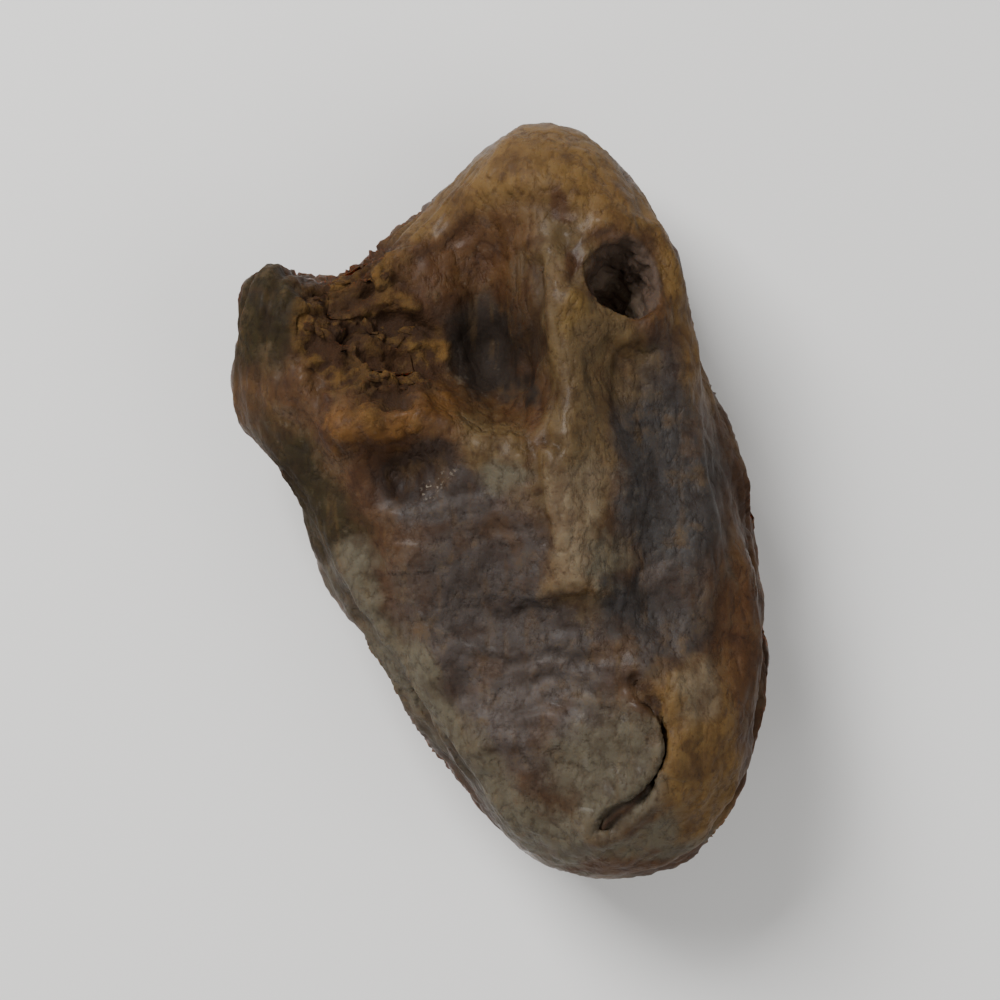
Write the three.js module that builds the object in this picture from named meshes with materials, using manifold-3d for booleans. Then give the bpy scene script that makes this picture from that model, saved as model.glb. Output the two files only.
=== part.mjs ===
// A pitted date: one dried, pressed fruit, hollow where its stone was punched out.
//
// Millimetres, +Z up. The fruit lies on its back with its broad wrinkled face up and its
// long axis on Y. The punched hole is near the +Y end, to the right. The origin is under
// the middle of the fruit, at the level it rests on.

import * as THREE from 'three';
import { mergeVertices } from 'three/addons/utils/BufferGeometryUtils.js';
import { ImprovedNoise } from 'three/addons/math/ImprovedNoise.js';
import Module from 'manifold-3d';

// The body, a pressed pillow
const CROWN_HEIGHT = 13.9; // broad face, before its folds
const WAIST_HEIGHT = 6.3; // the widest section
const BELLY_DEPTH = 6.9; // the round belly, which the flat it rests on cuts off
const FULLNESS = 2.5; // 2 is an ellipse in section, more is fuller
const SPLITS = 20; // of each edge of the icosahedron that the skin starts from

// Its outline from above, clockwise from the top, about MIDDLE
const MIDDLE = new THREE.Vector3(0.5, 0.3, 0);
const OUTLINE = [
  [1.1, 17.8], [4.6, 17.3], [8.2, 13.2], [10.0, 8.4], [12.2, 1.2], [13.1, -4.5], [13.0, -8.9],
  [11.4, -14.0], [8.9, -16.9], [5.0, -17.5], [1.2, -16.3], [-2.7, -12.1], [-5.9, -7.6],
  [-8.5, -3.7], [-10.6, 1.0], [-12.7, 4.6], [-12.7, 8.8], [-11.2, 11.6], [-7.7, 11.7],
  [-4.5, 13.7], [-1.9, 15.6],
];
const OUTLINE_STEPS = 720;

// The punched hole leans in from the shoulder to the squeezed channel that the stone left
const HOLE = { mouth: [6.2, 11.15, 15.3], foot: [4.75, 7.9, 7.0], radius: 1.45, uneven: 0.06, lobes: 3 };
const HOLE_FLARE = { from: 0.4, by: 0.3 }; // from this share of the way out, by this at the mouth
const HOLE_SIDES = 32;
const HOLE_STEPS = 6;
const HOLE_RIM = { at: [5.7, 10.1], radius: 2.3, width: 0.8, rise: 0.45 };
const CHANNEL = { at: [4.7, -1.2, 7.0], halfSize: [3.1, 10.6, 1.7], turn: 6 };
const CHANNEL_SIDES = { around: 28, along: 18 };

// A curved tear in the skin near the -Y end
const TEAR = { path: [[6.4, -8.3], [7.5, -10.2], [7.2, -12.4], [4.8, -14.9]], width: 0.6, depth: 1.8 };
const TEAR_STEPS = 14;
const TEAR_TIP = 0.15; // of its full width and depth, at either end
const TEAR_FLARE = { floor: 0.4, top: 1.15 }; // of its width, in section
const TEAR_ABOVE = 1; // how far its cutter stands over the skin

// Swellings (rise above 0) and hollows of the broad face: place, half sizes along X and Y, turn
const MOUNDS = [
  { at: [3.0, 14.2], size: [4.6, 2.8], turn: -25, rise: 0.9 }, // dome past the hole
  { at: [-5.4, 8.0], size: [3.6, 3.3], turn: 10, rise: -1.5 }, // torn flesh, sunk below the skin
  { at: [-0.8, 7.2], size: [2.3, 2.5], turn: 0, rise: -1.3 }, // deepest part of the hollow by the hole
  { at: [-10.9, 9.3], size: [1.7, 2.2], turn: 20, rise: 0.9 }, // lobe at the left
  { at: [-4.4, 1.0], size: [1.7, 1.3], turn: 0, rise: -1.5 }, // dimple under the ledge
  { at: [1.2, -7.4], size: [4.8, 5.2], turn: 20, rise: -0.9 }, // pressed middle
  { at: [9.6, -11.5], size: [2.4, 3.2], turn: 0, rise: 0.7 }, // corner beside the tear
];

// Ridges and furrows that follow a line across the broad face
const FOLDS = [
  { path: [[2.3, 8.6], [3.0, 4.6], [2.5, 0.6], [3.3, -3.8]], width: 1.5, rise: 1.2 },
  { path: [[-1.1, 11.0], [-1.0, 8.4], [0.2, 5.2]], width: 2.2, rise: -2.8 },
  { path: [[-2.6, 12.5], [0.6, 13.2], [3.6, 12.4]], width: 0.9, rise: -0.6 },
  { path: [[-7.4, 3.2], [-3.6, 3.9], [0.2, 2.6]], width: 1.1, rise: 1.0 },
  { path: [[-6.4, -4.8], [-3.3, -9.2], [0.4, -13.8]], width: 2.0, rise: 0.4 },
  { path: [[-9.2, 3.4], [-6.6, -1.6], [-4.6, -6.4]], width: 0.9, rise: -0.8 },
  { path: [[6.0, 6.2], [7.6, 2.0], [7.3, -4.6]], width: 1.7, rise: -1.1 },
  { path: [[10.4, 5.0], [11.4, -1.4], [10.6, -7.0]], width: 1.0, rise: -0.8 },
  { path: [[0.9, -5.3], [2.4, -5.4], [4.0, -4.9]], width: 0.7, rise: -0.6 },
  { path: TEAR.path, width: 1.7, rise: 0.6 },
];
const FOLD_STEPS = 24;

// Fine relief: rough torn flesh, wrinkles across the pressed middle, furrows along the rest
const CRUMBS = { at: [-5.9, 7.8], size: [3.6, 3.4], turn: 0, pitch: 1.8, rise: 1.7, layer: 0.5 };
const CROSS_WRINKLES = {
  at: [1.0, -7.0], size: [5.6, 6.0], turn: 0, across: 6.5, along: 2.1, layer: 3.5, depth: 0.9, sharpness: 5.2,
};
const LONG_FURROWS = [
  { ring: 2.1, along: 26, layer: 0, depth: 1.1, sharpness: 3.8 },
  { ring: 2.9, along: 21, layer: 9.3, depth: 0.5, sharpness: 3.0 },
];
const FURROW_BANKS = 0.25; // how far the skin swells out between them
const FURROW_WANDER = { by: 0.5, pitch: 0.55 }; // off the meridians of the sphere of radius 1
const FURROW_ENDS = [0.15, 0.6]; // they fade out at both ends, between these widths of that sphere
const FACE_SLOPE = [0.1, 0.65]; // upward tilt of the skin where the face's relief takes over

// The patch of belly that stays flat, so that the fruit rests on it
const SEAT = { at: [0.8, -0.6], size: [4.2, 5.5], turn: 0 };

const SAME_POINT = 1e-5; // vertices closer than this are one

const noise = new ImprovedNoise();
const { degToRad, lerp, smoothstep } = THREE.MathUtils;

// 1 at the middle of an oval, falling to nothing past its edge
function oval({ at: [cx, cy], size: [sx, sy], turn }, x, y) {
  const c = Math.cos(degToRad(turn));
  const s = Math.sin(degToRad(turn));
  const across = ((x - cx) * c + (y - cy) * s) / sx;
  const along = ((y - cy) * c - (x - cx) * s) / sy;
  return Math.exp(-(across ** 2 + along ** 2));
}

function lineThrough(path) {
  return new THREE.CatmullRomCurve3(path.map(([x, y]) => new THREE.Vector3(x, y, 0)));
}

// 1 on a line across the broad face, falling to nothing beside it
function nearLine({ points, width }, x, y) {
  const nearest = Math.min(...points.map((p) => Math.hypot(p.x - x, p.y - y)));
  return Math.exp(-((nearest / width) ** 2));
}

// 1 along the wavering lines where a field of noise crosses zero
function crease(value, sharpness) {
  return Math.exp(-((value * sharpness) ** 2));
}

function polarOutline() {
  const curve = new THREE.CatmullRomCurve3(
    OUTLINE.map(([x, y]) => new THREE.Vector3(x, y, 0)), true, 'centripetal',
  );
  const spokes = curve.getPoints(OUTLINE_STEPS).slice(1).map((p) => {
    const out = p.sub(MIDDLE);
    return { angle: Math.atan2(out.y, out.x), reach: out.length() };
  }).sort((a, b) => a.angle - b.angle);
  const turn = 2 * Math.PI;
  const first = spokes[0];
  const last = spokes[spokes.length - 1];
  return [{ ...last, angle: last.angle - turn }, ...spokes, { ...first, angle: first.angle + turn }];
}

function outlineReach(spokes, angle) {
  const after = spokes.findIndex((spoke) => spoke.angle >= angle);
  const a = spokes[after - 1];
  const b = spokes[after];
  return lerp(a.reach, b.reach, (angle - a.angle) / (b.angle - a.angle));
}

// The plain pillow, from a sphere whose equator goes to the outline. Each point keeps its
// direction on that sphere.
function makePillow() {
  const sphere = new THREE.IcosahedronGeometry(1, SPLITS);
  sphere.deleteAttribute('normal');
  sphere.deleteAttribute('uv');
  const pillow = mergeVertices(sphere);
  const spokes = polarOutline();
  const place = pillow.attributes.position;
  const directions = place.clone();
  for (let i = 0; i < place.count; i++) {
    const u = new THREE.Vector3().fromBufferAttribute(place, i);
    const reach = outlineReach(spokes, Math.atan2(u.y, u.x));
    const outward = Math.min(1, Math.hypot(u.x, u.y));
    const swell = (1 - outward ** FULLNESS) ** (1 / FULLNESS);
    const height = u.z > 0 ? (CROWN_HEIGHT - WAIST_HEIGHT) * swell : -BELLY_DEPTH * swell;
    place.setXYZ(i, MIDDLE.x + u.x * reach, MIDDLE.y + u.y * reach, WAIST_HEIGHT + height);
  }
  pillow.setAttribute('direction', directions);
  return pillow;
}

function faceRelief(x, y, folds) {
  let rise = 0;
  for (const mound of MOUNDS) rise += mound.rise * oval(mound, x, y);
  for (const fold of folds) rise += fold.rise * nearLine(fold, x, y);
  const fromHole = Math.hypot(x - HOLE_RIM.at[0], y - HOLE_RIM.at[1]) - HOLE_RIM.radius;
  rise += HOLE_RIM.rise * Math.exp(-((fromHole / HOLE_RIM.width) ** 2));
  const { pitch } = CRUMBS;
  rise += CRUMBS.rise * oval(CRUMBS, x, y) * noise.noise(x / pitch, y / pitch, CRUMBS.layer);
  const { across, along, depth, sharpness, layer } = CROSS_WRINKLES;
  const wrinkle = crease(noise.noise(x / across, y / along, layer), sharpness);
  rise -= depth * oval(CROSS_WRINKLES, x, y) * wrinkle;
  return rise;
}

// Furrows that run from end to end, wandering off the meridians of the sphere
function furrowRelief(u, y) {
  const { x, y: forward, z } = u.clone().divideScalar(FURROW_WANDER.pitch);
  const meridian = Math.atan2(u.z, u.x) + FURROW_WANDER.by * noise.noise(x, forward, z);
  let rise = FURROW_BANKS;
  for (const set of LONG_FURROWS) {
    const around = [set.ring * Math.cos(meridian), set.ring * Math.sin(meridian)];
    rise -= set.depth * crease(noise.noise(...around, y / set.along + set.layer), set.sharpness);
  }
  return rise * smoothstep(Math.hypot(u.x, u.z), ...FURROW_ENDS);
}

function foldSkin(pillow) {
  const folds = FOLDS.map((fold) => ({ ...fold, points: lineThrough(fold.path).getPoints(FOLD_STEPS) }));
  pillow.computeVertexNormals();
  const place = pillow.attributes.position;
  const { normal, direction } = pillow.attributes;
  for (let i = 0; i < place.count; i++) {
    const p = new THREE.Vector3().fromBufferAttribute(place, i);
    const n = new THREE.Vector3().fromBufferAttribute(normal, i);
    const onFace = smoothstep(n.z, ...FACE_SLOPE);
    const onSeat = n.z < 0 ? oval(SEAT, p.x, p.y) : 0;
    const u = new THREE.Vector3().fromBufferAttribute(direction, i);
    const furrow = furrowRelief(u, p.y);
    const rise = onFace * faceRelief(p.x, p.y, folds) + (1 - onFace) * (1 - onSeat) * furrow;
    p.addScaledVector(n, rise);
    place.setXYZ(i, p.x, p.y, Math.max(0, p.z));
  }
  pillow.deleteAttribute('normal');
  pillow.deleteAttribute('direction');
  return pillow;
}

// The hole, a slightly uneven bore that opens at its rim
function makeHole() {
  const axis = new THREE.LineCurve3(new THREE.Vector3(...HOLE.foot), new THREE.Vector3(...HOLE.mouth));
  const bore = new THREE.CylinderGeometry(1, 1, 1, HOLE_SIDES, HOLE_STEPS);
  const lean = new THREE.Quaternion().setFromUnitVectors(new THREE.Vector3(0, 1, 0), axis.getTangent(0));
  const place = bore.attributes.position;
  for (let i = 0; i < place.count; i++) {
    const p = new THREE.Vector3().fromBufferAttribute(place, i);
    const along = p.y + 0.5;
    const uneven = 1 + HOLE.uneven * Math.sin(HOLE.lobes * Math.atan2(p.z, p.x));
    const radius = uneven * (HOLE.radius + HOLE_FLARE.by * smoothstep(along, HOLE_FLARE.from, 1));
    p.set(p.x * radius, 0, p.z * radius).applyQuaternion(lean).add(axis.getPoint(along));
    place.setXYZ(i, p.x, p.y, p.z);
  }
  return bore;
}

function makeChannel() {
  const channel = new THREE.SphereGeometry(1, CHANNEL_SIDES.around, CHANNEL_SIDES.along);
  channel.rotateX(Math.PI / 2);
  channel.scale(...CHANNEL.halfSize);
  channel.rotateZ(degToRad(CHANNEL.turn));
  channel.translate(...CHANNEL.at);
  return channel;
}

// A tapering blade along the tear, which follows the skin below it
function makeTearBlade(skin) {
  const curve = lineThrough(TEAR.path);
  const blade = new THREE.BoxGeometry(2, 1, 1, 1, TEAR_STEPS, 1);
  const probe = new THREE.Raycaster();
  const down = new THREE.Vector3(0, 0, -1);
  const overhead = 2 * CROWN_HEIGHT;
  const place = blade.attributes.position;
  for (let i = 0; i < place.count; i++) {
    const along = place.getY(i) + 0.5;
    const side = place.getX(i);
    const low = place.getZ(i) < 0;
    const at = curve.getPoint(along);
    const ahead = curve.getTangent(along);
    probe.set(new THREE.Vector3(at.x, at.y, overhead), down);
    const skinHeight = probe.intersectObject(skin)[0].point.z;
    const taper = lerp(TEAR_TIP, 1, Math.sqrt(Math.sin(Math.PI * along)));
    const half = taper * (low ? TEAR_FLARE.floor : TEAR_FLARE.top) * TEAR.width / 2;
    const height = skinHeight + (low ? -TEAR.depth * taper : TEAR_ABOVE);
    place.setXYZ(i, at.x + ahead.y * side * half, at.y - ahead.x * side * half, height);
  }
  return blade;
}

function centreOverOrigin(geometry) {
  geometry.computeBoundingBox();
  const middle = geometry.boundingBox.getCenter(new THREE.Vector3());
  geometry.translate(-middle.x, -middle.y, 0);
}

function makeDate(wasm) {
  const solid = (geometry) => {
    geometry.deleteAttribute('normal');
    geometry.deleteAttribute('uv');
    const merged = mergeVertices(geometry, SAME_POINT);
    return new wasm.Manifold(new wasm.Mesh({
      numProp: 3,
      vertProperties: Float32Array.from(merged.attributes.position.array),
      triVerts: Uint32Array.from(merged.index.array),
    }));
  };
  const skin = foldSkin(makePillow());
  const tear = makeTearBlade(new THREE.Mesh(skin));
  const body = solid(skin)
    .subtract(solid(makeHole()).add(solid(makeChannel())))
    .subtract(solid(tear));
  const cut = body.getMesh();
  const geometry = new THREE.BufferGeometry();
  geometry.setAttribute('position', new THREE.BufferAttribute(cut.vertProperties, 3));
  geometry.setIndex(new THREE.BufferAttribute(cut.triVerts, 1));
  centreOverOrigin(geometry);
  geometry.computeVertexNormals();
  return geometry;
}

const wasm = await Module();
wasm.setup();

const flesh = new THREE.MeshStandardMaterial({ color: 0x6e4a2b, roughness: 0.45, metalness: 0 });
const date = new THREE.Mesh(makeDate(wasm), flesh);
date.name = 'pitted_date';

const model = new THREE.Group();
model.add(date);

export default model;
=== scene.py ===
"""A pitted date: the fruit's fine surface, its torn papery skin and their finishes.

Metres, +Z up. The fruit lies on its back, its long axis on Y, and the camera looks down on
its broad face. Places on the fruit are in millimetres, and MM turns them into metres.
"""

import math
import random

import bmesh
import bpy
import numpy as np
from mathutils import Matrix, Vector, noise


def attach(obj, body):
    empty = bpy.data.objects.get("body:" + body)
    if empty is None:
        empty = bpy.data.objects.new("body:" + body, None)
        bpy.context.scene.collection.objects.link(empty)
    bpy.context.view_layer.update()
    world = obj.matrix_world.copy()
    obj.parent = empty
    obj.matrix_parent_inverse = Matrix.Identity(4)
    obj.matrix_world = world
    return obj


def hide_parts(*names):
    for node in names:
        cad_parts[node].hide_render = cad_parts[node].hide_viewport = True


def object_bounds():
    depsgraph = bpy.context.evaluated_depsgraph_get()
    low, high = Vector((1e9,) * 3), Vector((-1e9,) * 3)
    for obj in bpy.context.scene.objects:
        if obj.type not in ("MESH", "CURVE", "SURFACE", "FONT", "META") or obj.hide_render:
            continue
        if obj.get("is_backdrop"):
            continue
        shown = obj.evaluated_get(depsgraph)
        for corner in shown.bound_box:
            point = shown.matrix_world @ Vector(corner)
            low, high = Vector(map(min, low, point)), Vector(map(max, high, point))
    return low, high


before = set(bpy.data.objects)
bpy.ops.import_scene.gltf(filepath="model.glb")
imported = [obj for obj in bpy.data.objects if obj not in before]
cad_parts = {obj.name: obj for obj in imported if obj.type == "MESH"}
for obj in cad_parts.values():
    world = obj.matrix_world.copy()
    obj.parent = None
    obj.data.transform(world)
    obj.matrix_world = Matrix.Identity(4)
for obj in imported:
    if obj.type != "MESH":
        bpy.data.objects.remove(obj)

bl_info = {
    "name": "Pitted Date",
    "version": (1, 0, 0),
    "blender": (4, 5, 0),
    "location": "3D View > Sidebar > Date",
    "description": "Models and finishes one dried, pressed, pitted date",
    "category": "Add Mesh",
}

MM = 0.001
NODE = "pitted_date"
CAD_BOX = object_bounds()

# Where each finish lies on the broad face, in millimetres. An oval has its place, its half
# sizes along X and Y and its turn in degrees; a line has its points and its half width.
OVALS = {
    "amber": [((3.4, 15.4), (4.4, 2.6), -10), ((8.2, -9.4), (1.5, 1.8), 0)],
    "straw": [((4.4, 6.4), (2.0, 2.2), 0), ((-0.5, 2.3), (1.9, 1.5), -10)],
    "ochre": [((3.4, 8.1), (0.9, 0.9), 20)],
    "brown": [((2.8, 13.6), (1.1, 0.5), -15), ((3.2, 10.7), (0.5, 0.8), 0),
              ((-1.4, 11.1), (2.0, 0.7), 5)],
    "tan": [((4.6, -12.4), (2.6, 2.6), -10), ((0.1, 0.8), (1.2, 1.0), 0),
            ((4.9, -2.8), (0.8, 0.9), 0)],
    "pale": [((3.2, -1.5), (1.2, 2.6), 0), ((8.7, -8.9), (0.9, 1.3), 0)],
    "mauve": [((0.6, -6.6), (4.6, 6.2), 24), ((-2.4, -0.4), (3.0, 1.6), 0),
              ((7.6, -6.0), (1.9, 1.8), 0)],
    "dove": [((0.9, -9.3), (2.7, 1.8), -5), ((7.2, -3.7), (0.6, 0.8), 0)],
    # The plum oval is painted shade in the hollow, in a dark plum tone
    "plum": [((-0.9, 7.0), (2.3, 2.5), 0)],
    "slate": [((7.6, 1.0), (2.6, 6.0), 8), ((6.2, -4.6), (1.7, 1.5), 0)],
    "olive": [((-11.0, 8.8), (2.2, 3.0), 10), ((-9.0, 0.2), (1.6, 4.0), 28)],
    # The deep oval is painted shade in the dimple
    "deep": [((-4.0, 0.9), (1.4, 1.1), 0)],
    # The sparkle oval is where the painted glints lie
    "sparkle": [((-2.7, 0.1), (0.50, 0.36), -40)],
}
LINES = {
    "amber": [
        ([(-3.6, 13.2), (-1.0, 14.6), (2.0, 16.2)], 1.5),
        ([(5.2, 14.4), (7.8, 13.0), (9.2, 9.6), (9.8, 5.8)], 1.5),
        ([(8.6, -9.2), (9.5, -11.4), (8.6, -15.4)], 1.5),
    ],
    "straw": [([(2.8, 12.4), (2.9, 8.4), (3.6, 4.6), (3.1, 0.6), (3.5, -3.6)], 1.45)],
    "orange": [([(-7.0, 3.1), (-5.0, 3.6), (-2.8, 3.8)], 0.75)],
    "brown": [([(4.2, -16.7), (6.4, -17.2), (9.0, -16.6)], 0.7)],
    # The plum line is painted shade down the hollow's lower end
    "plum": [([(0.0, 7.0), (0.6, 4.9)], 0.7)],
    "tan": [
        ([(-7.4, -3.8), (-4.6, -8.6), (-1.8, -12.4), (1.2, -15.2)], 1.35),
        ([(0.2, -15.4), (4.0, -16.6), (8.8, -16.6)], 1.5),
    ],
}
# The plum and deep finishes are painted shade
FINISHES = (
    "olive", "mauve", "slate", "dove", "amber", "straw", "ochre", "tan", "pale", "orange", "brown",
    "plum", "deep")
# A pair named edge, tilt, top, start or end gives where a field starts to count and where it is
# whole. An edge is in shares of an oval's or a line's size, unless it says more.
FINISH_EDGE = (1.70, 0.42)

# The pressed middle of the broad face, as an oval, and how it is flattened
PRESSED = ((0.0, -6.2), (6.4, 7.4), 18)
PRESSED_EDGE, PRESSED_TILT = (1.25, 0.75), (0.35, 0.75)
FLATTENED_EDGE, FLATTENED_TILT, FLATTENED_SHARE = (1.2, 0.8), (0.3, 0.6), 0.75

# How far the normal points up on the broad face, on its top and on its crown
FACE_TILT, TOP_TILT, CROWN_TILT = (-0.25, 0.15), (-0.05, 0.32), (0.20, 0.80)

# Creases of the broad face: the points of each, its half width and its depth
CREASES = [
    ([(-7.2, 7.7), (-5.2, 7.9), (-3.2, 7.5)], 0.42, 0.55),
    ([(-6.7, 6.3), (-5.8, 5.0), (-4.2, 4.5)], 0.48, 0.60),
    ([(-8.2, 9.7), (-6.4, 9.2), (-4.6, 10.0)], 0.34, 0.35),
    ([(0.4, 13.5), (1.6, 13.4), (3.0, 12.9)], 0.40, 0.18),
    ([(3.0, 11.7), (3.4, 10.7), (3.3, 9.9)], 0.50, 0.35),
    ([(1.5, 10.4), (1.5, 8.0), (1.0, 5.2)], 0.42, 0.40),
    ([(1.4, 2.2), (1.7, -0.2), (1.9, -2.2)], 0.34, 0.32),
    ([(2.0, 2.6), (2.5, 2.2)], 0.30, 0.30),
    ([(1.0, -5.3), (2.3, -5.1), (3.9, -4.7)], 0.30, 0.25),
    ([(0.6, -7.5), (2.4, -7.2), (4.0, -7.5)], 0.26, 0.20),
    ([(1.5, -8.5), (2.6, -8.2), (3.9, -8.5)], 0.22, 0.16),
    ([(0.8, -9.7), (2.2, -9.3), (3.4, -9.6)], 0.24, 0.18),
    ([(6.0, -8.2), (6.5, -8.8), (7.0, -9.6)], 0.32, 0.40),
    ([(6.8, -13.0), (6.2, -13.6), (5.5, -14.1), (4.7, -15.0)], 0.30, 0.48),
]

# Where the skin is torn off the flesh: the torn patch, the tear, and cracks in the sides
TORN_PATCH, TORN_EDGE = ((-5.9, 7.5), (3.0, 3.3), 6), (1.45, 0.85)
TEAR = [(6.3, -8.4), (7.0, -9.5), (7.4, -10.6), (7.4, -11.5), (7.2, -12.3), (6.5, -13.3),
        (4.7, -15.0)]
TEAR_HALF_WIDTH = 0.26
CRACK_NOISE, CRACK_WIDTH = 0.60, 2.4  # noise above the first is a crack; millimetres for noise of 1
BARE_EDGE = (0.10, -0.25)  # millimetres from the skin's edge, below 0 where it is missing
FAR = 12.0  # further than any torn edge or finish reaches

# Skin that is left in the torn patch: millimetres for noise of 1, and what is added to them
SPOT_WIDTH, SPOT_MARGIN = 3.2, 0.1

# The punched hole from its mouth to its foot, and the channel that the stone left
HOLE, HOLE_RADIUS = [(6.1, 11.0, 15.3), (4.65, 7.75, 7.0)], 1.5
HOLE_EDGE = (HOLE_RADIUS + 0.6, HOLE_RADIUS + 0.2)  # millimetres from the hole's axis
HOLE_TOP = (13.2, 12.0)  # heights where its walls start and where they are whole
RIM_GAP, RIM_LEVEL = 0.15, 9.0  # the skin's edge beyond the radius, and its lowest height
CHANNEL, CHANNEL_EDGE = ((4.6, -1.35), (3.4, 10.9), 6), (1.08, 0.98)
CHANNEL_LEVEL, CHANNEL_HALF_HEIGHT = 7.0, 2.0

# The tear's lips are drawn together by a share of the way, between these places along Y
PINCH_START, PINCH_END, PINCH_SHARE = (-9.4, -10.2), (-14.2, -12.8), 0.75

# Sections across the fruit, which its middle line is found from: how many there are, how far the
# first and the last lie from the ends, and half the thickness of each, in millimetres
SECTIONS, SECTION_MARGIN, SECTION_HALF = 34, 0.5, 0.6

# Furrows from end to end: the ring that spaces them round the fruit, the pitch along it in
# millimetres, and the seed
FURROWS, FINE_FURROWS = (5.0, 15.0, 2.0), (11.0, 7.0, 9.0)
SWIRL = 0.3  # radians that they wander round the fruit for noise of 1
FURROW_GIRTH = (0.45, 0.85)  # shares of the fullest section's height between which they deepen

# Wrinkles by kind: how narrow they are, and how deep beside the furrows
NARROWNESS = {"along": 3.8, "fine along": 4.2, "across": 4.0, "fine across": 4.4}
DEPTHS = {"fine along": 0.45, "across": 0.28, "fine across": 0.24}

# The share of the wrinkles' depth that a finish takes away
CALM = {"amber": 0.35, "slate": 0.30, "plum": 0.75}

# Noise by name: its pitch along X, Y and Z in millimetres, and its seed
NOISES = {
    "swirl": ((7.0, 9.0, 7.0), 41.0),
    "skin spots": ((2.0, 1.6, 1.8), 33.0),
    "cracks": ((1.7, 8.5, 1.7), 21.0),
    "across": ((4.6, 1.25, 4.0), 4.0),
    "fine across": ((2.2, 0.62, 2.0), 6.0),
    "strength": ((4.0, 6.0, 4.0), 14.0),
    "fine strength": ((3.0, 4.0, 3.0), 19.0),
    "crinkles": ((0.9, 1.5, 0.9), 3.0),
    "swells": ((2.8, 3.8, 2.8), 53.0),
    "lumps": ((2.0, 1.5, 1.7), 2.5),
    "clefts": ((2.2, 1.6, 1.8), 7.0),
    "flakes": ((0.9, 0.6, 0.8), 7.0),
    "fibres": ((0.5, 0.9, 0.5), 1.0),
    "walls": ((1.3, 1.3, 2.2), 4.0),
    "rim": ((1.3, 1.3, 1.3), 44.0),
    "curls": ((1.9, 1.9, 1.9), 12.0),
    "held": ((2.6, 2.6, 2.6), 27.0),
    "waves": ((0.8, 0.8, 0.8), 17.0),
}

# How far points are moved about to make what is laid on them ragged, the pitch, and the seed
WARPS = {
    "finishes": (1.1, 2.6, 3.1),
    "fine finishes": (0.40, 0.7, 11.7),
    "skin spots": (0.5, 1.1, 8.0),
    "openings": (0.22, 0.9, 5.0),
    "cracks": (0.5, 1.5, 6.6),
    "wrinkles": (0.8, 3.6, 1.9),
    "creases": (0.3, 1.1, 15.0),
    "crumbs": (0.6, 1.3, 8.0),
}

# Heights and depths of the relief, in millimetres for noise of 1
CRINKLES = 0.13
SWELLS = 0.22
SKIN_STEP = 0.12  # how far bare flesh lies below the skin
LUMPS, CLEFTS, FLAKES = 0.50, 0.45, 0.62  # shares of the crumbs' height
FIBRES = 0.15
WALL_BUMPS = 0.28
RIM_BUMPS = 0.34
LIPS, LIP_DISTANCE = 0.14, 0.7  # the swollen lips of the tear, and how far from it they crest
# Creases darken the colour as painted shade
CREASE_DARKNESS = 1.6  # the groove mask for a crease of one millimetre

# The strip of skin that is modelled round bare flesh, in millimetres where no comment says other
STRIP_WIDTH = 2.4
STRIP_FOOT = 0.5  # it has nothing lower than this
STRIP_INSIDE = 0.4  # it stops where the mask of the hole's walls is above this
STRIP_FACES = 80  # islands of fewer faces are removed
STRIP_ROUNDING = 16  # passes that take the steps out of its border
STRIP_RISE = (0.4, 2.0)  # heights between which it comes free of the flesh
STRIP_LIFT, STRIP_WAVES = 0.02, 0.04  # how far all of it stands off, and its waves' height
CURL_NOISE = (-0.1, 0.4)  # noise where the curl is least and where it is whole
LEAST_CURL = 0.15  # the least curl's share of the whole
CURL_REACH = 0.45  # how far from the torn edge the curl dies away
HELD_NOISE = (0.15, -0.15)  # noise between which the strip goes from free to stuck down
ROOT_RANGE = (1.0, 2.1)  # distances from the torn edge over which it sinks in
ROOT_DEPTH, FOOT_DEPTH = 0.14, 0.10  # how far its root and its lowest part are sunk

# Shreds: the least and the most of half their width in millimetres, and of their length and
# height for a width of 1; how lumpy they are, the rate of the lumps, and the share of half their
# width that they are sunk by
SHRED_SIZE, SHRED_LENGTH, SHRED_HEIGHT = (0.08, 0.22), (1.0, 2.8), (0.4, 0.8)
SHRED_LUMPS, SHRED_LUMP_RATE, SHRED_SINK = 0.45, 1.7, 0.25
SHRED_GAP, SHRED_TORN = -0.25, 0.8  # they stand where the gap is below and the torn mask above

# Heights on the hole's walls where the paler lining and its painted glint start and where they are
# whole, in millimetres
LINING_AND_GLINT_LEVELS = (10.5, 8.0)

# The lights, each with the direction that it shines from, its distance and size in metres, and
# its power in watts
LIGHTS = {
    "key": ((-0.7, 0.8, 1.2), 0.35, 0.16, 1.7),
    "fill": ((0.9, -0.5, 1.2), 0.40, 0.30, 0.5),
    "low": ((-1.0, -0.9, 0.5), 0.45, 0.15, 0.45),
}
FLOOR_HALF, SKY_STRENGTH = 0.6, 0.35

# The camera's angle above the floor, its lens in millimetres, and the share of the frame that
# the fruit's length fills
CAMERA_ELEVATION, CAMERA_LENS, CAMERA_SHARE = 88.0, 120.0, 0.76


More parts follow.
